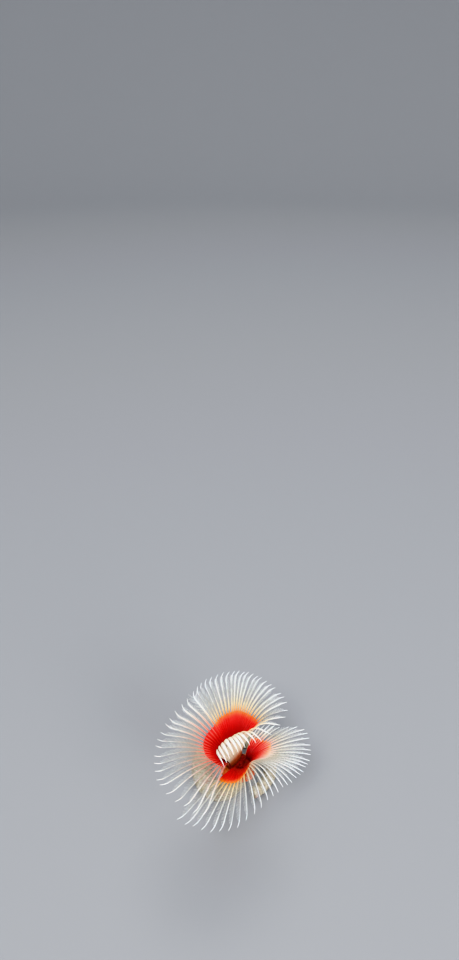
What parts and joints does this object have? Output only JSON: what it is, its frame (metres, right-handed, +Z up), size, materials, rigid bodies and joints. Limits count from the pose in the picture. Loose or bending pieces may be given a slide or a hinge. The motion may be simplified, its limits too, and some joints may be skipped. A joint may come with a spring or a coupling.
{
  "type": "fan worm in its tube",
  "caption": "Life-size still model of a spiral fan worm: a red, cream and white feathery crown of two lobes rising from a chalky tube that lies in a loose loop.",
  "frame": {"origin": "middle of the animal's footprint, on the surface it rests on", "axes": "+Z up; +Y away from the viewer of the picture, towards the back of the tube's loop; +X to the viewer's right"},
  "size_m": [0.0612, 0.0702, 0.0513],
  "materials": {
    "crown": "moist flesh: red web with an orange edge, cream underside, white feathers",
    "body": "moist orange and cream flesh",
    "tube": "rough chalk with growth rings"
  },
  "bodies": {
    "root": {"left_lobe_1": "crown", "left_lobe_2": "crown", "left_lobe_3": "crown", "left_lobe_4": "crown", "left_lobe_5": "crown", "left_lobe_6": "crown", "right_lobe_1": "crown", "right_lobe_2": "crown", "right_lobe_3": "crown", "right_lobe_4": "crown", "crown_foot": "body", "collar": "body", "mouth": "body", "palp_left": "body", "palp_right": "body", "thorax": "body", "abdomen_front": "body", "abdomen_middle": "body", "abdomen_rear": "body", "pygidium": "body", "tube_mouth": "tube", "tube_bend": "tube", "tube_loop_front": "tube", "tube_loop_back": "tube", "tube_tail": "tube"}
  },
  "joints": []
}
